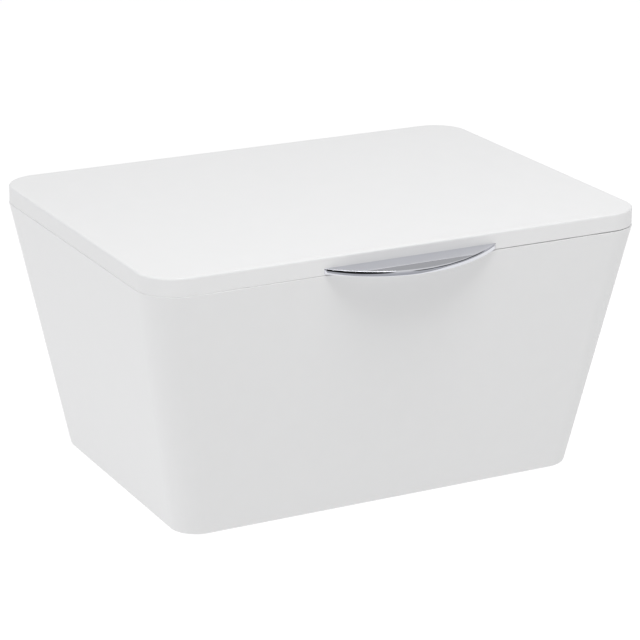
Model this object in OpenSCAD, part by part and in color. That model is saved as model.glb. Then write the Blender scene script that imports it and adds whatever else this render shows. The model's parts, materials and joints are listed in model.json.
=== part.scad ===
// Low storage box with a rear-hinged lid and a crescent finger pull.
// X runs to the right, Y to the rear and Z up. The box stands on Z = 0, with X = 0 and Y = 0
// in the middle of its whole outline, pull included. Millimetres.

/* [Tub] */
// Width of the tub across its rim
rim_w = 190; // [180:1:200]
// Depth of the tub across its rim, without the pull
rim_d = 140; // [132:1:150]
// Height of the rim above the surface that the box stands on
rim_z = 93; // [88:1:100]
// Width of the tub's base
base_w = 157.2; // [150:0.2:165]
// Depth of the tub's base
base_d = 107.2; // [102:0.2:115]
// Corner radius at the rim, in plan
rim_r = 13.5; // [11:0.5:16]
// Corner radius at the base, in plan
base_r = 10; // [8:0.5:12]
// Thickness of the tub's walls
wall_t = 2.4; // [2:0.1:2.6]
// Thickness of the tub's floor
floor_t = 2.6; // [2.2:0.1:3.5]

/* [Lid] */
// Height of the lid, from the lower edge of its skirt to its top
lid_h = 6.3; // [6:0.1:6.8]
// How far the lid's edge stands back from the rim
lid_inset = 0.2; // [0.1:0.1:0.4]
// Open seam between the rim and the lid
seam = 0.1; // [0.1:0.1:0.3]
// Rounding of the lid's top edge
lid_edge_r = 0.8; // [0.6:0.1:1.5]
// Thickness of the lid's top plate
lid_plate_t = 1.7; // [1.5:0.1:1.8]
// Thickness of the lid's skirt
skirt_t = 2; // [1.8:0.1:2.1]
// Thickness of the liner that closes the lid's underside
liner_t = 1; // [0.8:0.1:1.1]

/* [Pull] */
// How far the pull stands out of the lid's skirt
pull_reach = 10.6; // [8:0.2:14]
// Slope of the pull, down towards its front edge, in degrees
pull_tilt = 8.5; // [0:0.5:9]
// Length of the pull along the skirt, between its blunt tips
pull_len = 66; // [58:1:67]
// Chord of the pull's front arc along the skirt
pull_chord = 68; // [68:1:76]
// Thickness of the pull
pull_t = 1.7; // [1.6:0.1:1.8]

/* [Hinge] */
// Distance of each hinge from the middle of the box
hinge_x = 52; // [44:1:60]
// Width of a bracket's knuckle
knuckle_w = 12; // [10:1:14]
// Radius of the hinge pins
pin_r = 1; // [0.9:0.05:1.1]

/* [Feet] */
// Height of the feet below the tub
foot_h = 0.8; // [0.6:0.1:1.2]
// Radius of a foot
foot_r = 5; // [4:0.5:6]

/* [Hidden] */
$fn = 64;
eps = 0.01;

// The tub
tub_h = rim_z - foot_h;
taper_x = (rim_w - base_w) / 2 / tub_h;
taper_y = (rim_d - base_d) / 2 / tub_h;
taper_r = (rim_r - base_r) / tub_h;
base_edge_r = 1.2;
floor_z = foot_h + floor_t;
// Depth from the middle of the tub to the inner face of its rear wall at height z
function inner_y(z) = rim_d / 2 - (rim_z - z) * taper_y - wall_t;

// The lid, in the closed position
lid_w = rim_w - 2 * lid_inset;
lid_d = rim_d - 2 * lid_inset;
lid_r = rim_r - lid_inset;
lid_z = rim_z + seam;
lid_top = lid_z + lid_h;
ceiling_z = lid_top - lid_plate_t;
liner_top = lid_z + liner_t;

// The hinge: its axis lies along X, inside the lid's rear edge
axis_y = lid_d / 2 - 2.7;
axis_z = rim_z + 2;
barrel_r = lid_d / 2 - axis_y;
knuckle_r = barrel_r - 0.3;
barrel_len = 8;
barrel_gap = 0.3;
pin_len = knuckle_w + 2 * barrel_len - 1;
pin_fit = 0.02;
barrel_fit = 0.05;
// The rear wall is lowered below the lid's rear edge, which rolls down over it as the lid opens
notch_z = axis_z - barrel_r - 0.7;
notch_y = axis_y - barrel_r - 0.6;
notch_half = rim_w / 2 - 5.2;

// The brackets sit on pads with an upright face
pad_half = 13;
pad_y = inner_y(rim_z) - 5.6;
pad_top = notch_z - 1.7;
bracket_half = 11.5;
bracket_t = 2.7;
bracket_y = pad_y - 0.05;
bracket_low = 74;
arm_clear = 0.7;
bracket_screw_x = 8.2;
bracket_screw_z = 81;

// Screws
screw_r = 1;
screw_head_r = 2;
screw_head_h = 0.9;
hole_r = 1.2;
pilot_r = 1.05;
lid_screw_len = ceiling_z + 0.6 - lid_z;
bracket_screw_len = 7;

// The pull: a sloping round plate cut off by the skirt and at its tips, with a level tongue that goes
// in through the skirt. Its slope turns about the line where its top meets the skirt.
skirt_y = -lid_d / 2;
pull_edge_r = pull_t / 2;
pull_out = (pull_reach - pull_edge_r * (1 - sin(pull_tilt))) / cos(pull_tilt) + pull_edge_r;
pull_r = (pow(pull_chord / 2, 2) + pow(pull_out, 2)) / (2 * pull_out);
pull_top = lid_z + 2.4;
tongue_half = 24;
tongue_z = liner_top + 0.1;
tongue_t = 1.1;
tongue_back = skirt_y + 13;
pull_screw_x = 16;
pull_screw_y = skirt_y + 9.3;
liner_screw_x = 26;
liner_screw_y = 56;
boss_r = 2.8;

// The liner and its locating lip
liner_clear = 0.15;
liner_rear = axis_y - 4.7;
lip_inset = 3.3;
lip_t = 1.6;
lip_depth = 2.9;
lip_rear = 56;

// Small pads
foot_x = base_w / 2 - 14;
foot_y = base_d / 2 - 13;
foot_recess = 0.6;
bumper_x = 70;
bumper_len = 10;
bumper_w = 1.2;
bumper_recess = 0.5;

// The pull stands out at the front only, so the middle of the tub lies behind the middle of the outline
shift_y = pull_reach / 2;
module placed() {
    translate([0, shift_y, 0]) children();
}

// A round-cornered rectangle about the origin, with true arcs
module outline(w, d, r) {
    square([w - 2 * r, d], center = true);
    square([w, d - 2 * r], center = true);
    for (x = [-1, 1], y = [-1, 1])
        translate([x * (w / 2 - r), y * (d / 2 - r)]) circle(r);
}

module lid_outline(inset) {
    outline(lid_w - 2 * inset, lid_d - 2 * inset, lid_r - inset);
}

// Places its child at the four corner centres of a round-cornered rectangle
module at_corners(w, d, r) {
    for (x = [-1, 1], y = [-1, 1])
        translate([x * (w / 2 - r), y * (d / 2 - r), 0]) children();
}

// A disc of radius r and height h with its lower edge rounded by e
module low_round_disc(r, h, e) {
    rotate_extrude($fn = 48) {
        square([r - e, h]);
        translate([0, e]) square([r, h - e]);
        translate([r - e, e]) circle(e, $fn = 16);
    }
}

// A cylinder along X, from the middle out by half the length each way
module along_x(r, len) {
    rotate([0, 90, 0]) cylinder(r = r, h = len, center = true);
}

// Places its child on the hinge axis, at distance x from the middle
module on_axis(x) {
    translate([x, axis_y, axis_z]) children();
}

// ---- Tub -------------------------------------------------------------------------------

// The solid form of the tub between its base and its rim, taken in by inset
module tub_form(inset, low, high) {
    grow_low = low - foot_h;
    grow_high = high - foot_h;
    hull() {
        at_corners(base_w + 2 * (grow_low * taper_x - inset),
                   base_d + 2 * (grow_low * taper_y - inset),
                   base_r + grow_low * taper_r - inset)
            translate([0, 0, low])
                low_round_disc(base_r + grow_low * taper_r - inset, 2 * base_edge_r, base_edge_r);
        at_corners(base_w + 2 * (grow_high * taper_x - inset),
                   base_d + 2 * (grow_high * taper_y - inset),
                   base_r + grow_high * taper_r - inset)
            translate([0, 0, high - eps])
                cylinder(r = base_r + grow_high * taper_r - inset, h = eps, $fn = 48);
    }
}

module tub() {
    color("white") placed() difference() {
        union() {
            difference() {
                tub_form(0, foot_h, rim_z);
                tub_form(wall_t, floor_z, rim_z + 1);
            }
            intersection() {
                tub_form(wall_t / 2, foot_h, rim_z);
                for (side = [-1, 1])
                    translate([side * hinge_x - pad_half, pad_y, rim_z / 2])
                        cube([2 * pad_half, rim_d, pad_top - rim_z / 2]);
            }
        }
        translate([-notch_half, notch_y, notch_z]) cube([2 * notch_half, rim_d, tub_h]);
        for (side = [-1, 1], end = [-1, 1])
            translate([side * hinge_x + end * bracket_screw_x, pad_y - 1, bracket_screw_z])
                rotate([-90, 0, 0]) cylinder(r = pilot_r, h = bracket_screw_len - bracket_t + 1.3);
        for (x = [-1, 1], y = [-1, 1])
            translate([x * foot_x, y * foot_y, 0]) cylinder(r = foot_r, h = foot_h + foot_recess);
    }
}

module foot(x, y) {
    color("gainsboro") placed() translate([x * foot_x, y * foot_y, 0]) {
        cylinder(r = foot_r - 0.5, h = 0.5);
        translate([0, 0, 0.5]) cylinder(r = foot_r, h = foot_h + foot_recess - 0.5);
    }
}

// ---- Hinge -----------------------------------------------------------------------------

module hinge_bracket(side) {
    arm_y = inner_y(notch_z) - arm_clear;
    color("whitesmoke") placed() difference() {
        union() {
            translate([side * hinge_x - bracket_half, bracket_y - bracket_t, bracket_low])
                cube([2 * bracket_half, bracket_t, pad_top - bracket_low]);
            translate([side * hinge_x - knuckle_w / 2, 0, 0])
                rotate([90, 0, 90]) linear_extrude(knuckle_w) polygon([
                    [bracket_y - bracket_t, bracket_low],
                    [bracket_y, bracket_low],
                    [bracket_y, pad_top + 0.1],
                    [arm_y, pad_top + 0.1],
                    [arm_y, axis_z],
                    [axis_y - knuckle_r, axis_z],
                    [bracket_y - bracket_t, pad_top - 1.5]
                ]);
            on_axis(side * hinge_x) along_x(knuckle_r, knuckle_w);
        }
        on_axis(side * hinge_x) along_x(pin_r + pin_fit, knuckle_w + 2);
        for (end = [-1, 1])
            translate([side * hinge_x + end * bracket_screw_x, bracket_y - bracket_t - 1, bracket_screw_z])
                rotate([-90, 0, 0]) cylinder(r = hole_r, h = bracket_t + 2);
    }
}

module hinge_pin(side) {
    color("silver") placed() on_axis(side * hinge_x) along_x(pin_r, pin_len);
}

// A screw that points up from Z = 0, where the underside of its head lies
module screw(len) {
    difference() {
        union() {
            cylinder(r = screw_r, h = len);
            translate([0, 0, -screw_head_h]) cylinder(r = screw_head_r, h = screw_head_h);
        }
        for (turn = [0, 90])
            rotate(turn) translate([-1.1, -0.25, -screw_head_h - eps]) cube([2.2, 0.5, 0.5]);
    }
}

module bracket_screw(side, end) {
    color("silver") placed()
        translate([side * hinge_x + end * bracket_screw_x, bracket_y - bracket_t, bracket_screw_z])
            rotate([-90, 0, 0]) screw(bracket_screw_len);
}

// ---- Lid -------------------------------------------------------------------------------

// The outer form of the lid, with its top edge rounded
module lid_form() {
    hull() at_corners(lid_w, lid_d, lid_r)
        translate([0, 0, lid_top]) mirror([0, 0, 1]) low_round_disc(lid_r, lid_h, lid_edge_r);
}

// What the lid's lower rear edge keeps: the rear rounding about the hinge axis
module rear_rounding(len) {
    translate([0, axis_y, axis_z]) along_x(barrel_r, len);
}

module lid_shell() {
    color("white") placed() difference() {
        union() {
            difference() {
                lid_form();
                translate([0, 0, lid_z - 1])
                    linear_extrude(ceiling_z - lid_z + 1) lid_outline(skirt_t);
            }
            // the rear skirt reaches down as a rounded bead
            intersection() {
                translate([0, 0, notch_z]) linear_extrude(axis_z - notch_z) difference() {
                    lid_outline(0);
                    lid_outline(skirt_t);
                }
                rear_rounding(2 * notch_half - 0.6);
            }
            // the barrels either side of each bracket's knuckle
            for (side = [-1, 1]) {
                on_axis(side * hinge_x) along_x(barrel_r, knuckle_w + 2 * barrel_len);
                translate([side * hinge_x - knuckle_w / 2 - barrel_len, axis_y - 1.5, axis_z])
                    cube([knuckle_w + 2 * barrel_len, 3, ceiling_z - axis_z + 0.5]);
            }
            // the screw bosses
            for (side = [-1, 1]) {
                translate([side * pull_screw_x, pull_screw_y, tongue_z + tongue_t + 0.1])
                    cylinder(r = boss_r, h = ceiling_z - tongue_z - tongue_t + 0.4);
                translate([side * liner_screw_x, liner_screw_y, liner_top + 0.05])
                    cylinder(r = boss_r, h = ceiling_z - liner_top + 0.45);
            }
        }
        // below the axis, the rear edge is round
        difference() {
            translate([-lid_w, axis_y, axis_z - lid_h]) cube([2 * lid_w, lid_d, lid_h]);
            rear_rounding(3 * lid_w);
        }
        // room for the brackets
        for (side = [-1, 1]) {
            on_axis(side * hinge_x) along_x(barrel_r + 0.05, knuckle_w + 2 * barrel_gap);
            translate([side * hinge_x - knuckle_w / 2 - barrel_gap, notch_y, axis_z - lid_h])
                cube([knuckle_w + 2 * barrel_gap, lid_d, lid_h]);
            on_axis(side * hinge_x) along_x(pin_r + barrel_fit, pin_len + 2);
            translate([side * pull_screw_x, pull_screw_y, tongue_z])
                cylinder(r = pilot_r, h = lid_z + lid_screw_len + 0.3 - tongue_z);
            translate([side * liner_screw_x, liner_screw_y, liner_top])
                cylinder(r = pilot_r, h = lid_z + lid_screw_len + 0.3 - liner_top);
            translate([side * bumper_x - bumper_len / 2 - 0.1,
                       skirt_y + skirt_t / 2 - bumper_w / 2 - 0.05, lid_z - 1])
                cube([bumper_len + 0.2, bumper_w + 0.1, bumper_recess + 1]);
        }
        // the slot for the pull's tongue
        translate([-tongue_half - 0.1, skirt_y - 1, tongue_z - 0.05])
            cube([2 * tongue_half + 0.2, skirt_t + 2, tongue_t + 0.1]);
    }
}

module lid_liner() {
    color("whitesmoke") placed() difference() {
        union() {
            translate([0, 0, lid_z]) linear_extrude(liner_t) intersection() {
                lid_outline(skirt_t + liner_clear);
                translate([-lid_w, liner_rear - 2 * lid_d]) square([2 * lid_w, 2 * lid_d]);
            }
            translate([0, 0, lid_z - lip_depth]) linear_extrude(lip_depth) intersection() {
                difference() {
                    lid_outline(lip_inset);
                    lid_outline(lip_inset + lip_t);
                }
                translate([-lid_w, lip_rear - 2 * lid_d]) square([2 * lid_w, 2 * lid_d]);
            }
        }
        for (side = [-1, 1]) {
            translate([side * pull_screw_x, pull_screw_y, lid_z - 1]) cylinder(r = hole_r, h = liner_t + 2);
            translate([side * liner_screw_x, liner_screw_y, lid_z - 1]) cylinder(r = hole_r, h = liner_t + 2);
        }
    }
}

// The pull's plate, level, with its top at Z = 0 and the skirt at Y = 0
module pull_plate() {
    translate([0, pull_r - pull_out, -pull_t]) rotate_extrude($fn = 160) {
        square([pull_r - pull_edge_r, pull_t]);
        intersection() {
            translate([pull_r - pull_edge_r, pull_edge_r]) circle(pull_edge_r, $fn = 32);
            square([pull_r, pull_t]);
        }
    }
}

module pull() {
    color("lightsteelblue") placed() difference() {
        union() {
            intersection() {
                translate([0, skirt_y, pull_top]) rotate([pull_tilt, 0, 0]) pull_plate();
                translate([-pull_len / 2, skirt_y - 2 * pull_reach, 0])
                    cube([pull_len, 2 * pull_reach - 0.02, lid_top]);
            }
            translate([-tongue_half, skirt_y - 1, tongue_z])
                cube([2 * tongue_half, tongue_back - skirt_y + 1, tongue_t]);
        }
        for (side = [-1, 1])
            translate([side * pull_screw_x, pull_screw_y, tongue_z - 1])
                cylinder(r = hole_r, h = tongue_t + 2);
    }
}

module lid_screw(x, y) {
    color("silver") placed() translate([x, y, lid_z]) screw(lid_screw_len);
}

module lid_bumper(side) {
    color("gainsboro") placed()
        translate([side * bumper_x - bumper_len / 2, skirt_y + skirt_t / 2 - bumper_w / 2, rim_z + 0.02])
            cube([bumper_len, bumper_w, seam + bumper_recess - 0.04]);
}

tub();
foot(-1, -1);  // foot_front_left
foot(1, -1);  // foot_front_right
foot(-1, 1);  // foot_rear_left
foot(1, 1);  // foot_rear_right
hinge_bracket(-1);  // hinge_bracket_left
hinge_bracket(1);  // hinge_bracket_right
hinge_pin(-1);  // hinge_pin_left
hinge_pin(1);  // hinge_pin_right
bracket_screw(-1, -1);  // bracket_screw_left_outer
bracket_screw(-1, 1);  // bracket_screw_left_inner
bracket_screw(1, -1);  // bracket_screw_right_inner
bracket_screw(1, 1);  // bracket_screw_right_outer
lid_shell();
lid_liner();
pull();
lid_screw(-pull_screw_x, pull_screw_y);  // pull_screw_left
lid_screw(pull_screw_x, pull_screw_y);  // pull_screw_right
lid_screw(-liner_screw_x, liner_screw_y);  // liner_screw_left
lid_screw(liner_screw_x, liner_screw_y);  // liner_screw_right
lid_bumper(-1);  // lid_bumper_left
lid_bumper(1);  // lid_bumper_right
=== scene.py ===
"""A low storage box with a rear-hinged lid and a chromed crescent pull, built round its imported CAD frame."""
import json
import math

import bpy
from mathutils import Matrix, Vector


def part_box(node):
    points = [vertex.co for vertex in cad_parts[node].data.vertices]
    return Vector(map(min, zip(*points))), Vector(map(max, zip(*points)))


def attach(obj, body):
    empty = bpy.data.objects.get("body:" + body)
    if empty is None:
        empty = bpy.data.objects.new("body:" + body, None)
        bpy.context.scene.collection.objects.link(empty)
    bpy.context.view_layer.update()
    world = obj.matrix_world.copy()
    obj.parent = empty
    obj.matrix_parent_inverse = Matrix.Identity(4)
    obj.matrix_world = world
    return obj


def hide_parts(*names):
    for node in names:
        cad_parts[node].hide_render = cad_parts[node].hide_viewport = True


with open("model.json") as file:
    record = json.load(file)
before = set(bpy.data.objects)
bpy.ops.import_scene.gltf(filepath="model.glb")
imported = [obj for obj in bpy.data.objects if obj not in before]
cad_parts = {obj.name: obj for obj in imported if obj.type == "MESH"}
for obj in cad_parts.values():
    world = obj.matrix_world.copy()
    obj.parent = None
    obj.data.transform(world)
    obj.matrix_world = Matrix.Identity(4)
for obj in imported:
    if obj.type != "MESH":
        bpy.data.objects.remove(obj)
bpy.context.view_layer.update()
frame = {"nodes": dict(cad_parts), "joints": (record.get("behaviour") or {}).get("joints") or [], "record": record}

MM = 0.001

# ---- Driving sizes, in millimetres -------------------------------------------------------------
# Places come from the frame; these are the sizes of the forms that its boxes don't show.

# Tub
BASE_W, BASE_D, BASE_R = 157.2, 107.2, 10.0     # the base, in plan
RIM_W, RIM_D, RIM_R = 190.0, 140.0, 13.5        # the rim, in plan
WALL, FLOOR_T = 2.4, 2.6
BASE_EDGE_R, RIM_EDGE_R, FLOOR_FILLET_R = 1.2, 0.35, 3.0
PAD_HALF = 13.0                  # half the width of the pad under each hinge bracket
PAD_STEP = 5.6                   # how far the pad's face stands in front of the wall's inner face at the rim
PAD_TOP_DROP = 1.7               # from the lowered rear edge down to the pad's top
PAD_LOW_SHARE = 0.605            # the pad runs out into the sloping wall at this share of the rim's height

# Lid
LID_R, LID_EDGE_R, LID_LOW_EDGE_R = 13.3, 0.8, 0.05
LID_PLATE, SKIRT = 1.7, 2.0
SEAM, SEAM_GAPE = 0.01, 0.32     # the seam, and how much wider it is at the front right corner
GAPE_START, GAPE_FULL = 22.0, 8.0        # the gape grows from this X, to this far from the right edge
GAPE_BACK, GAPE_RAMP = 45.0, 40.0        # it ends this far behind the front, over this length
SKIRT_RINGS = (2.0, 1.7, 1.3, 0.9, 0.5, 0.3, 0.16, 0.07, 0.02, 0.0)     # insets across the skirt's edge
RECESS_END, RECESS_SIDE = 0.1, 0.05      # room round each bumper in its recess

# Hinge
HINGE_X, KNUCKLE_W, BARREL_LEN, BARREL_R, PIN_R = 52.0, 12.0, 8.0, 2.7, 1.0
KNUCKLE_GAP, BORE_CLEAR, ROLL_CLEAR = 0.3, 0.05, 0.08
ROOM_FRONT, ROOM_REAR, ROOM_DOWN = 3.3, 9.0, 3.0     # the opening in the lid's rear edge, round the axis
WEB_HALF, WEB_BITE = 1.5, 0.5            # half the web's thickness, and how far it goes into the plate
BARREL_SHY = 0.02                        # the barrels stay this much inside the rolled rear edge
NOTCH_INSET, NOTCH_CLEAR, BEAD_INSET = 5.2, 0.7, 0.3

# Pull
PULL_OUT, PULL_CHORD, PULL_LEN = 10.83, 68.0, 66.0   # in the plane of the sloping pull
PULL_T, PULL_TILT = 1.7, math.radians(8.5)
# The nose's cross-section from its top down, as arcs of (radius, first angle, last angle)
NOSE_ARCS = ((0.15, 90, 45), (1.9, 45, 19.8), (26.5, 19.8, 18), (0.12, 18, -90))
PULL_TIP_R, PULL_STEPS = 0.6, 140
PULL_SHY = 0.005                         # between the pull's inner edge and the skirt

# Screws
SCREW_HEAD_R, SCREW_HEAD_H, SCREW_R = 2.0, 0.9, 1.0
CROSS_LONG, CROSS_SHORT, CROSS_DEPTH = 1.15, 0.24, 0.55

ARC_STEPS = 20
ROUND_STEPS = 48
STEP_PAST = 0.15                 # the rear edge steps up to the rim this far past NOTCH_HALF


def mm(v):
    """A length or a point of the frame, in millimetres."""
    return v / MM


# Places that the frame gives
tub_low, tub_high = (mm(p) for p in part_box("tub"))
lid_low, lid_high = (mm(p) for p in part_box("lid_shell"))
pull_top = mm(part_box("pull")[1]).z
AXIS_Y, AXIS_Z = (mm(c) for c in frame["joints"][0]["pos_m"][1:])
LID_W, LID_D = lid_high.x - lid_low.x, lid_high.y - lid_low.y
MID_Y = (lid_low.y + lid_high.y) / 2
BASE_Z, RIM_Z = tub_low.z, tub_high.z
FLOOR_Z = BASE_Z + FLOOR_T
LID_TOP = lid_high.z
SKIRT_Y = lid_low.y
LID_Z = RIM_Z + SEAM
CEILING_Z = LID_TOP - LID_PLATE
# The tub's rear wall is lower than the rim, over this half width, so that the lid's edge can roll over it
NOTCH_HALF, NOTCH_Z = RIM_W / 2 - NOTCH_INSET, AXIS_Z - BARREL_R - NOTCH_CLEAR
BEAD_HALF = NOTCH_HALF - BEAD_INSET      # the half width over which the lid's rear edge is rolled


# ---- Mesh helpers ------------------------------------------------------------------------------

def add_object(name, verts, faces):
    """A new mesh object. Its mesh stays in millimetres until shade() brings it to metres."""
    mesh = bpy.data.meshes.new(name)
    mesh.from_pydata(verts, [], faces)
    mesh.validate()
    mesh.update()
    obj = bpy.data.objects.new(name, mesh)
    bpy.context.scene.collection.objects.link(obj)
    return obj


def loft(name, rings):
    """A closed solid through rings of equally many points, with a flat cap at each end."""
    count = len(rings[0])
    verts = [p for ring in rings for p in ring]
    faces = [tuple(reversed(range(count))), tuple(range(len(verts) - count, len(verts)))]
    for level in range(len(rings) - 1):
        for i in range(count):
            j = (i + 1) % count
            low, high = level * count, (level + 1) * count
            faces.append((low + i, low + j, high + j, high + i))
    return add_object(name, verts, faces)


def box_solid(name, low, high):
    """A plain block, used for cutting and joining."""
    corners = [(low[0], low[1]), (high[0], low[1]), (high[0], high[1]), (low[0], high[1])]
    return loft(name, [[(x, y, z) for x, y in corners] for z in (low[2], high[2])])


def full_turn(steps):
    """Evenly spaced angles round a circle."""
    return [2 * math.pi * i / steps for i in range(steps)]


def axis_rod(name, x_low, x_high, radius):
    """A round rod along the hinge axis."""
    return loft(name, [[(x, AXIS_Y + radius * math.cos(t), AXIS_Z + radius * math.sin(t))
                        for t in full_turn(ROUND_STEPS)] for x in (x_low, x_high)])


def combine(obj, operation, *others):
    """Cuts the other solids from obj, or joins them to it, and removes them."""
    for other in others:
        modifier = obj.modifiers.new("combine", "BOOLEAN")
        modifier.operation, modifier.object, modifier.solver = operation, other, "MANIFOLD"
        apply_modifiers(obj)
        bpy.data.objects.remove(other)
    return obj


def apply_modifiers(obj):
    """Makes what the modifiers show the object's own mesh."""
    bpy.context.view_layer.update()
    graph = bpy.context.evaluated_depsgraph_get()
    mesh = bpy.data.meshes.new_from_object(obj.evaluated_get(graph))
    obj.modifiers.clear()
    obj.data = mesh


def shade(obj, sharp_degrees=32):
    """Brings the mesh to metres, with smooth shading that is sharp where faces meet at more than the
    angle."""
    obj.data.transform(Matrix.Scale(MM, 4))
    obj.data.shade_smooth()
    obj.data.set_sharp_from_angle(angle=math.radians(sharp_degrees))
    weighted = obj.modifiers.new("weighted_normals", "WEIGHTED_NORMAL")
    weighted.keep_sharp, weighted.weight = True, 80
    return obj


def soften(obj, width):
    """Rounds the sharp edges by a small bevel."""
    bevel = obj.modifiers.new("edge_rounding", "BEVEL")
    bevel.width, bevel.segments = width * MM, 3
    bevel.limit_method, bevel.angle_limit = "ANGLE", math.radians(38)
    bevel.use_clamp_overlap = True
    bevel.harden_normals = True


def finish_piece(obj, body, material, slot, *nodes):
    """Gives a piece its material and the body that it rides on, and hides the CAD nodes that it stands for."""
    obj.data.materials.clear()
    obj.data.materials.append(material)
    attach(obj, body)
    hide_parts(*nodes)


def quarter(radius, steps):
    """Points of a quarter circle as (taken in, gone along), from a flat face to a side."""
    angles = [math.pi / 2 * i / steps for i in range(steps + 1)]
    return [(radius * (1 - math.sin(a)), radius * (1 - math.cos(a))) for a in angles]


def stations(breaks):
    """The places round a round-cornered outline, as (side in x, side in y, angle). Breaks are extra angles,
    in degrees from the X axis, at both rear corners."""
    found = []
    for turn, (sx, sy) in enumerate([(1, -1), (1, 1), (-1, 1), (-1, -1)]):
        start = (turn - 1) * 90
        angles = [start + 90 * i / ARC_STEPS for i in range(ARC_STEPS + 1)]
        if sy > 0:
            angles += [b if sx > 0 else 180 - b for b in breaks]
        found += [(sx, sy, math.radians(a)) for a in sorted(set(angles))]
    return found


def corner_angle(half, width, radius):
    """The angle in degrees at which a corner of an outline of this width lies half away from the middle."""
    return math.degrees(math.acos((half - width / 2 + radius) / radius))


def outline_point(station, half_w, half_d, radius):
    """A point of a round-cornered outline, at one of its stations."""
    sx, sy, angle = station
    return (sx * (half_w - radius) + radius * math.cos(angle),
            MID_Y + sy * (half_d - radius) + radius * math.sin(angle))


def smooth(value, start, end):
    """Rises smoothly from 0 at start to 1 at end."""
    t = min(1, max(0, (value - start) / (end - start)))
    return t * t * (3 - 2 * t)


# ---- Materials ---------------------------------------------------------------------------------

def principled(name, color, roughness, **inputs):
    """A new material with its shader's constant values set, and its node tree and shader."""
    material = bpy.data.materials.new(name)
    material.use_nodes = True
    shader = material.node_tree.nodes["Principled BSDF"]
    shader.inputs["Base Color"].default_value = (*color, 1)
    shader.inputs["Roughness"].default_value = roughness
    for label, value in inputs.items():
        shader.inputs[label.replace("_", " ")].default_value = value
    return material, material.node_tree, shader


def noise_node(tree, scale, detail, stretch=(1, 1, 1)):
    """A noise of the object's own coordinates, with its scale in cells per metre."""
    nodes, links = tree.nodes, tree.links
    place = nodes.new("ShaderNodeTexCoord")
    mapping = nodes.new("ShaderNodeMapping")
    mapping.inputs["Scale"].default_value = stretch
    noise = nodes.new("ShaderNodeTexNoise")
    noise.inputs["Scale"].default_value = scale
    noise.inputs["Detail"].default_value = detail
    links.new(place.outputs["Object"], mapping.inputs["Vector"])
    links.new(mapping.outputs["Vector"], noise.inputs["Vector"])
    return noise


def map_range(tree, value, from_low, from_high, to_low, to_high, kind="LINEAR"):
    """A node that carries a number from one range over to another, and its result."""
    node = tree.nodes.new("ShaderNodeMapRange")
    node.interpolation_type = kind
    for label, number in (("From Min", from_low), ("From Max", from_high),
                          ("To Min", to_low), ("To Max", to_high)):
        node.inputs[label].default_value = number
    tree.links.new(value, node.inputs["Value"])
    return node.outputs["Result"]


def vary(tree, noise, target, low, high):
    """Spreads a noise over the range low to high, into a number's socket."""
    tree.links.new(map_range(tree, noise.outputs["Fac"], 0.3, 0.7, low, high), target)


def tint(tree, noise, shader, dark, light):
    """Mixes two colours by a noise into the base colour."""
    ramp = tree.nodes.new("ShaderNodeValToRGB")
    first, last = ramp.color_ramp.elements
    first.position, last.position = 0.3, 0.7
    first.color, last.color = (*dark, 1), (*light, 1)
    tree.links.new(noise.outputs["Fac"], ramp.inputs["Fac"])
    tree.links.new(ramp.outputs["Color"], shader.inputs["Base Color"])


def grain(tree, noise, shader, depth_mm):
    """A fine surface grain, depth_mm deep."""
    bump = tree.nodes.new("ShaderNodeBump")
    bump.inputs["Distance"].default_value = depth_mm * MM
    bump.inputs["Strength"].default_value = 1.0
    tree.links.new(noise.outputs["Fac"], bump.inputs["Height"])
    tree.links.new(bump.outputs["Normal"], shader.inputs["Normal"])


def moulded(name, color, roughness, grain_scale, grain_mm, **inputs):
    """Moulded plastic: an even colour with a faint mottle, a fine grain, and slightly uneven gloss."""
    spread = 0.03
    material, tree, shader = principled(name, color, roughness, **inputs)
    mottle = noise_node(tree, 140, detail=4)
    tint(tree, mottle, shader, [c * 0.994 for c in color], [min(1, c * 1.004) for c in color])
    vary(tree, mottle, shader.inputs["Roughness"], roughness - spread, roughness + spread)
    fine = noise_node(tree, grain_scale, detail=3)
    grain(tree, fine, shader, grain_mm)
    return material


def metal(name, color, roughness, scratch, stretch=(1, 1, 1)):
    """Metal with a faintly uneven polish."""
    material, tree, shader = principled(name, color, roughness, Metallic=1.0)
    polish = noise_node(tree, 900, detail=4, stretch=stretch)
    vary(tree, polish, shader.inputs["Roughness"], roughness - scratch, roughness + scratch)
    return material


soft_white = moulded("soft_touch_white", (0.78, 0.78, 0.78), 0.52, 2600, 0.012, Specular_IOR_Level=0.35)
liner_white = moulded("liner_plastic", (0.84, 0.84, 0.835), 0.45, 1500, 0.02)
hinge_white = moulded("hinge_plastic", (0.83, 0.83, 0.82), 0.3, 1200, 0.006)
chrome = metal("chrome", (0.745, 0.753, 0.795), 0.03, 0.012)
steel = metal("steel", (0.62, 0.62, 0.61), 0.26, 0.08, stretch=(0.1, 1, 1))
elastomer = moulded("elastomer", (0.66, 0.66, 0.65), 0.7, 900, 0.02)


# ---- Tub ---------------------------------------------------------------------------------------

def tub_point(station, z, inset):
    """A point of the tapered wall at height z, taken in by inset."""
    share = (z - BASE_Z) / (RIM_Z - BASE_Z)
    half_w = (BASE_W + (RIM_W - BASE_W) * share) / 2 - inset
    half_d = (BASE_D + (RIM_D - BASE_D) * share) / 2 - inset
    radius = BASE_R + (RIM_R - BASE_R) * share - inset
    x, y = outline_point(station, half_w, half_d, radius)
    return x, y, z


def rim_height(station):
    """The height of the tub's edge: lower along the rear, between the hinge corners."""
    x = abs(outline_point(station, RIM_W / 2, RIM_D / 2, RIM_R)[0])
    at_rear = station[1] > 0
    return NOTCH_Z if at_rear and x < NOTCH_HALF + STEP_PAST else RIM_Z


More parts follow.
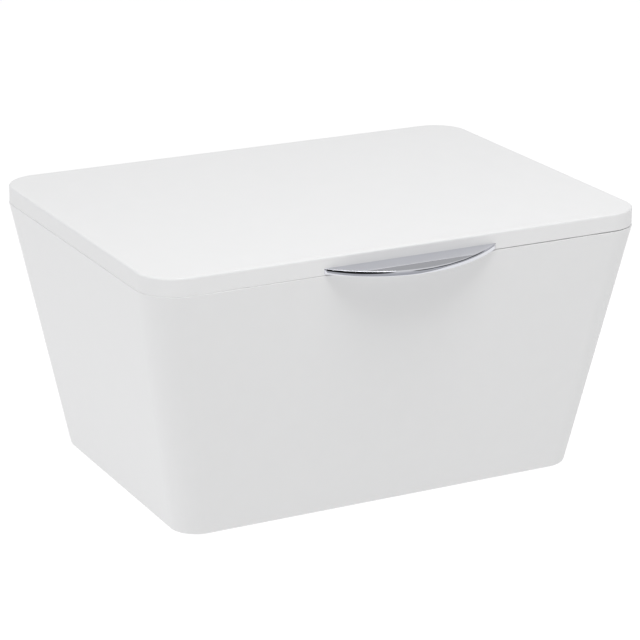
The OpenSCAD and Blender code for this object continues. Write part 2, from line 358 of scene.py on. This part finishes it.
def make_tub_body():
    """The tub with its rounded edges and its lowered rear edge."""
    notch_angle = corner_angle(NOTCH_HALF, RIM_W, RIM_R)
    places = stations(breaks=(notch_angle - 1.2, notch_angle - 0.6))     # the step lies between the two
    tops = [rim_height(s) for s in places]

    def ring(inset, height):
        return [tub_point(s, height(top), inset) for s, top in zip(places, tops)]

    rings = [ring(inset, lambda top, up=up: BASE_Z + up) for inset, up in quarter(BASE_EDGE_R, 6)]
    rings += [ring(inset, lambda top, down=down: top - down)
              for inset, down in reversed(quarter(RIM_EDGE_R, 5))]
    rings += [ring(WALL - inset, lambda top, down=down: top - down)
              for inset, down in quarter(RIM_EDGE_R, 5)]
    rings += [ring(WALL + inset, lambda top, up=up: FLOOR_Z + up)
              for inset, up in reversed(quarter(FLOOR_FILLET_R, 6))]
    return loft("tub_body", rings)


def make_pad(middle):
    """The upright pad under a hinge bracket, which grows out of the middle of the rear wall."""
    face_y = MID_Y + RIM_D / 2 - WALL - PAD_STEP
    low, top = RIM_Z * PAD_LOW_SHARE, NOTCH_Z - PAD_TOP_DROP
    middle_rear = (1, 1, math.pi / 2)
    profile = [(face_y, low), (face_y, top)]
    profile += [(tub_point(middle_rear, z, WALL / 2)[1], z) for z in (top, low)]
    return loft("pad", [[(middle + x, y, z) for y, z in reversed(profile)] for x in (-PAD_HALF, PAD_HALF)])


def make_tub():
    """The tub with the pads inside its rear wall."""
    tub = make_tub_body()
    for side in (-1, 1):
        combine(tub, "UNION", make_pad(side * HINGE_X))
    return shade(tub)


finish_piece(make_tub(), "base", soft_white, "soft_touch_white", "tub")


# ---- Lid ---------------------------------------------------------------------------------------

def lid_underside(x, y, inset):
    """The height of the skirt's lower edge: level, but a little higher at the front right, where the lid
    doesn't quite close, and rolled round the hinge axis along the rear."""
    across = smooth(x, GAPE_START, LID_W / 2 - GAPE_FULL)
    along = smooth(SKIRT_Y + GAPE_BACK - y, 0, GAPE_RAMP)
    level = LID_Z + SEAM_GAPE * across * along
    rounding = LID_LOW_EDGE_R
    if inset < rounding:
        level += rounding - math.sqrt(rounding ** 2 - (rounding - inset) ** 2)
    back = y - AXIS_Y
    if abs(x) > BEAD_HALF or back <= -BARREL_R:
        return level
    rolled = AXIS_Z - math.sqrt(max(0, BARREL_R ** 2 - back ** 2))
    return rolled if back > 0 else min(level, rolled)


def make_lid_body():
    """The lid's top plate, rounded top edge and skirt, with its rolled rear edge."""
    bead_angle = corner_angle(BEAD_HALF, LID_W, LID_R)
    places = stations(breaks=(bead_angle - 0.5, bead_angle + 0.5))

    def ring(inset, height):
        points = [outline_point(s, LID_W / 2 - inset, LID_D / 2 - inset, LID_R - inset) for s in places]
        return [(x, y, height(x, y)) for x, y in points]

    rings = [ring(SKIRT, lambda x, y: CEILING_Z)]
    rings += [ring(inset, lambda x, y, i=inset: lid_underside(x, y, i)) for inset in SKIRT_RINGS]
    rings += [ring(inset, lambda x, y, d=down: LID_TOP - d)
              for inset, down in reversed(quarter(LID_EDGE_R, 8))]
    return loft("lid_top_shell", rings)


def cut_knuckle_room(lid, middle, half):
    """Cuts the opening in the lid's rear edge that a bracket's knuckle turns in."""
    room = box_solid("room", (middle - half, AXIS_Y - ROOM_FRONT, LID_Z - ROOM_DOWN),
                     (middle + half, AXIS_Y + ROOM_REAR, AXIS_Z))
    roll = axis_rod("room", middle - half, middle + half, BARREL_R + ROLL_CLEAR)
    combine(lid, "DIFFERENCE", room, roll)


def add_barrel(lid, near, far):
    """Adds a bored hinge barrel from near to far along X, with the web that joins it to the top plate."""
    barrel = axis_rod("barrel", near, far, BARREL_R - BARREL_SHY)
    web = box_solid("web", (near, AXIS_Y - WEB_HALF, AXIS_Z),
                    (far, AXIS_Y + WEB_HALF, CEILING_Z + WEB_BITE))
    combine(barrel, "UNION", web)
    combine(lid, "UNION", barrel)
    combine(lid, "DIFFERENCE", axis_rod("bore", near - 0.1, far + 0.1, PIN_R + BORE_CLEAR))


def cut_bumper_recess(lid, node):
    """Cuts the recess that a bumper sits in, under the front skirt."""
    low, high = (mm(p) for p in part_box(node))
    recess = box_solid("recess", (low.x - RECESS_END, low.y - RECESS_SIDE, LID_Z - 1),
                       (high.x + RECESS_END, high.y + RECESS_SIDE, high.z))
    combine(lid, "DIFFERENCE", recess)


def make_lid():
    """The lid's shell, with its hinge barrels and the recesses for its bumpers."""
    lid = make_lid_body()
    half = KNUCKLE_W / 2 + KNUCKLE_GAP
    for side in (-1, 1):
        middle = side * HINGE_X
        cut_knuckle_room(lid, middle, half)
        for end in (-1, 1):
            near, far = sorted((middle + end * half, middle + end * (half + BARREL_LEN)))
            add_barrel(lid, near, far)
    for node in ("lid_bumper_left", "lid_bumper_right"):
        cut_bumper_recess(lid, node)
    return shade(lid)


finish_piece(make_lid(), "lid", soft_white, "soft_touch_white", "lid_shell")


# ---- Pull --------------------------------------------------------------------------------------

def nose_profile(steps=8):
    """The nose's cross-section, as points of (forward, up) from the plate's top. Each arc's angles are
    those of the surface above the plate's plane. Forward is 0 at the tip."""
    points, forward, up = [], 0, 0
    for radius, first, last in NOSE_ARCS:
        angles = [math.radians(first + (last - first) * i / steps) for i in range(steps + 1)]
        points += [(forward + radius * (math.cos(a) - math.cos(angles[0])),
                    up + radius * (math.sin(a) - math.sin(angles[0]))) for a in angles[bool(points):]]
        forward, up = points[-1]
    tip = max(forward for forward, up in points)
    drop = points[-1][1]
    return [(forward - tip, -PULL_T * up / drop) for forward, up in points]


def pull_depth(x):
    """How far the pull stands out of the skirt at x, in its own plane, with its tips rounded off."""
    arc_r = (PULL_CHORD ** 2 / 4 + PULL_OUT ** 2) / (2 * PULL_OUT)
    depth = PULL_OUT - arc_r + math.sqrt(arc_r ** 2 - x ** 2)
    past = max(0, abs(x) - PULL_LEN / 2 + PULL_TIP_R) / PULL_TIP_R
    return max(0.04, depth * math.sqrt(max(0, 1 - past ** 2)))


def pull_ring(x, profile):
    """The pull's cross-section at x, with its slope turned about the top of its inner edge."""
    cos_tilt, sin_tilt = math.cos(PULL_TILT), math.sin(PULL_TILT)
    depth = pull_depth(x)
    nose = -profile[0][0]
    squeeze = min(1, (depth - 0.02) / nose)      # the nose is thinner than usual where the pull is shallow
    ring = [(x, SKIRT_Y - PULL_SHY, pull_top)]
    for forward, up in profile:
        out = depth + forward * squeeze
        ring.append((x, SKIRT_Y - max(0.01, out * cos_tilt + up * sin_tilt),
                     pull_top - out * sin_tilt + up * cos_tilt))
    ring.append((x, SKIRT_Y - PULL_SHY, pull_top - PULL_T / cos_tilt))
    return ring


def make_pull():
    """The crescent: a sloping plate with a rounded nose, drawn along its arc between its blunt tips."""
    profile = nose_profile()
    places = [PULL_LEN / 2 * math.sin(math.pi * (i / PULL_STEPS - 0.5)) for i in range(PULL_STEPS + 1)]
    return shade(loft("finger_pull", [pull_ring(x, profile) for x in places]), 50)


finish_piece(make_pull(), "lid", chrome, "chrome", "pull")


# ---- Screws ------------------------------------------------------------------------------------

def screw_profile(length):
    """A screw's outline as (radius, distance from the top of its head), with a domed pan head and a point."""
    head, tall = SCREW_HEAD_R, SCREW_HEAD_H
    angles = [math.radians(d) for d in (6, 20, 35, 50, 65, 78, 90)]
    dome = [(head * math.sin(a), tall * 0.8 * (1 - math.cos(a))) for a in angles]
    rim = [(head, tall * 0.86), (head - 0.08, tall)]
    shank = [(SCREW_R, tall), (SCREW_R, length - 1), (0.15, length)]
    return dome + rim + shank


def cross_slot(place, wide, deep):
    """One slot of a cross recess, which narrows inwards."""
    corners = [(-wide, -deep), (wide, -deep), (wide, deep), (-wide, deep)]
    return loft("recess", [[place(u * grow, v * grow, along) for u, v in corners]
                           for along, grow in ((-0.3, 1.1), (CROSS_DEPTH, 0.6))])


def make_screw(node):
    """A pan-head screw in its node's place: it points along the node's long side, with its head at the
    low end."""
    low, high = (mm(p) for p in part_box(node))
    middle, size = (low + high) / 2, high - low
    upright = size.z > size.y
    length = size.z if upright else size.y

    def place(u, v, along):
        if upright:
            return middle.x + u, middle.y + v, low.z + along
        return middle.x + v, low.y + along, middle.z + u

    screw = loft(node + "_pan_head", [[place(r * math.cos(t), r * math.sin(t), along) for t in full_turn(32)]
                                      for r, along in screw_profile(length)])
    for wide, deep in ((CROSS_LONG, CROSS_SHORT), (CROSS_SHORT, CROSS_LONG)):
        combine(screw, "DIFFERENCE", cross_slot(place, wide, deep))
    return shade(screw, 40)


for body, nodes in frame["record"]["behaviour"]["bodies"].items():
    for node in [n for n in nodes if "screw" in n]:
        finish_piece(make_screw(node), body, steel, "steel", node)


# ---- CAD nodes that stay, with better materials ------------------------------------------------

# Each node's material and slot, and the width of its edges' rounding in millimetres
KEPT = {
    "lid_liner": (liner_white, "liner_plastic", 0.25),
    "hinge_bracket_left": (hinge_white, "hinge_plastic", 0.3),
    "hinge_bracket_right": (hinge_white, "hinge_plastic", 0.3),
    "hinge_pin_left": (steel, "steel", 0.2),
    "hinge_pin_right": (steel, "steel", 0.2),
}
for name in frame["nodes"]:
    if name.startswith(("foot", "lid_bumper")):
        KEPT[name] = (elastomer, "elastomer", 0.15)
for name, (material, slot, rounding) in KEPT.items():
    obj = frame["nodes"][name]
    obj.data.materials.clear()
    obj.data.materials.append(material)
    soften(obj, rounding)


# ---- Camera, floor and light -------------------------------------------------------------------

def make_camera():
    """The photograph's viewpoint: from the front left, a little above, through a long lens."""
    azimuth, elevation, roll = (math.radians(a) for a in (-27.34, 18.56, 0.25))
    target = Vector((7.48, MID_Y + 11.37, BASE_Z + 46.35)) * MM
    distance = 0.971
    back = Vector((math.sin(azimuth) * math.cos(elevation), -math.cos(azimuth) * math.cos(elevation),
                   math.sin(elevation)))
    level = (-back).cross(Vector((0, 0, 1))).normalized()
    upward = level.cross(-back)
    right = level * math.cos(roll) + upward * math.sin(roll)
    up = upward * math.cos(roll) - level * math.sin(roll)
    camera = bpy.data.objects.new("camera", bpy.data.cameras.new("camera"))
    camera.data.sensor_width, camera.data.lens = 36, 147.76
    camera.data.clip_start, camera.data.clip_end = 0.05, 60
    turn = Matrix((right, up, back)).transposed().to_4x4()
    camera.matrix_world = Matrix.Translation(target + back * distance) @ turn
    bpy.context.scene.collection.objects.link(camera)
    bpy.context.scene.camera = camera


def make_floor():
    """A wide, plain, pale floor that glows like a photographer's light table, and more so near the box: the glow
    is painted light, and the extra glow near the box fills in the box's contact shadow and lights its lower walls.
    """
    radius = 60000
    near_reach, far_reach = 0.1, 0.4
    # painted light: the floor's glow is stronger near the box, which washes out the box's contact shadow
    near_shadow_fill_glow, far_glow = 0.89, 0.84
    edge = [(radius * math.cos(t), radius * math.sin(t), 0) for t in full_turn(64)]
    floor = shade(add_object("floor", edge, [tuple(range(len(edge)))]))
    material, tree, shader = principled("floor", (0.2, 0.2, 0.2), 0.9, Specular_IOR_Level=0.0,
                                        Emission_Color=(1, 1, 1, 1))
    place = tree.nodes.new("ShaderNodeTexCoord")
    reach = tree.nodes.new("ShaderNodeVectorMath")
    reach.operation = "LENGTH"
    tree.links.new(place.outputs["Object"], reach.inputs[0])
    glow = map_range(tree, reach.outputs["Value"], near_reach, far_reach, near_shadow_fill_glow, far_glow, "SMOOTHSTEP")
    tree.links.new(glow, shader.inputs["Emission Strength"])
    floor.data.materials.append(material)


# Round parts of the sky that have their own light: azimuth, elevation, half width and soft edge in
# degrees, and light
PATCHES = (
    (-85, 34, 25, 14, 1.45),     # a fill, from the left
    (-19, 29, 25, 5, 0.02),      # a black card, in front
    (30, 21, 8, 4, 0.08),        # a row of four dark cards, at the right
    (44, 21, 8, 4, 0.08),
    (58, 21, 8, 4, 0.08),
    (72, 21, 8, 4, 0.08),
    (149, 33, 18, 12, 0.46),     # a grey card, behind
)


def add_patch(tree, ray, light, patch):
    """Mixes a patch into the sky's light, and gives the new light."""
    azimuth, elevation, half, soft, value = patch
    a, e = math.radians(azimuth), math.radians(elevation)
    aim = tree.nodes.new("ShaderNodeVectorMath")
    aim.operation = "DOT_PRODUCT"
    aim.inputs[1].default_value = (math.sin(a) * math.cos(e), -math.cos(a) * math.cos(e), math.sin(e))
    tree.links.new(ray, aim.inputs[0])
    outer, inner = (math.cos(math.radians(half + side * soft / 2)) for side in (1, -1))
    inside = map_range(tree, aim.outputs["Value"], outer, inner, 0.0, 1.0, "SMOOTHSTEP")
    blend = tree.nodes.new("ShaderNodeMix")
    blend.inputs["B"].default_value = value
    tree.links.new(inside, blend.inputs["Factor"])
    tree.links.new(light, blend.inputs["A"])
    return blend.outputs["Result"]


def make_world():
    """Soft studio light from all round, brighter overhead, with bright and dark patches for its fill and
    its cards."""
    low_light, high_light = 0.45, 0.98
    world = bpy.data.worlds.new("studio")
    bpy.context.scene.world = world
    world.use_nodes = True
    tree = world.node_tree
    background = tree.nodes["Background"]
    ray = tree.nodes.new("ShaderNodeTexCoord").outputs["Generated"]
    split = tree.nodes.new("ShaderNodeSeparateXYZ")
    tree.links.new(ray, split.inputs["Vector"])
    light = map_range(tree, split.outputs["Z"], 0.0, 1.0, low_light, high_light)
    for patch in PATCHES:
        light = add_patch(tree, ray, light, patch)
    tree.links.new(light, background.inputs["Strength"])
    hue = tree.nodes.new("ShaderNodeMix")
    hue.data_type = "RGBA"
    hue.inputs["A"].default_value = (0.985, 0.995, 1.035, 1)     # near the horizon
    hue.inputs["B"].default_value = (1, 1, 1, 1)                 # overhead
    rise = map_range(tree, split.outputs["Z"], 0.2, 0.6, 0.0, 1.0, "SMOOTHSTEP")
    tree.links.new(rise, hue.inputs["Factor"])
    tree.links.new(hue.outputs["Result"], background.inputs["Color"])


def make_softbox(place, target, size, power):
    """A square softbox that faces the target."""
    light = bpy.data.lights.new("softbox", "AREA")
    light.shape, light.size, light.energy = "SQUARE", size, power
    lamp = bpy.data.objects.new("softbox", light)
    lamp.location = place
    lamp.rotation_euler = (Vector(target) - Vector(place)).to_track_quat("-Z", "Y").to_euler()
    bpy.context.scene.collection.objects.link(lamp)


make_camera()
make_floor()
make_world()
make_softbox(place=(-0.01, -0.34, 0.72), target=(0, 0, 0.07), size=0.34, power=2.16)
bpy.context.scene.view_settings.view_transform = "Standard"
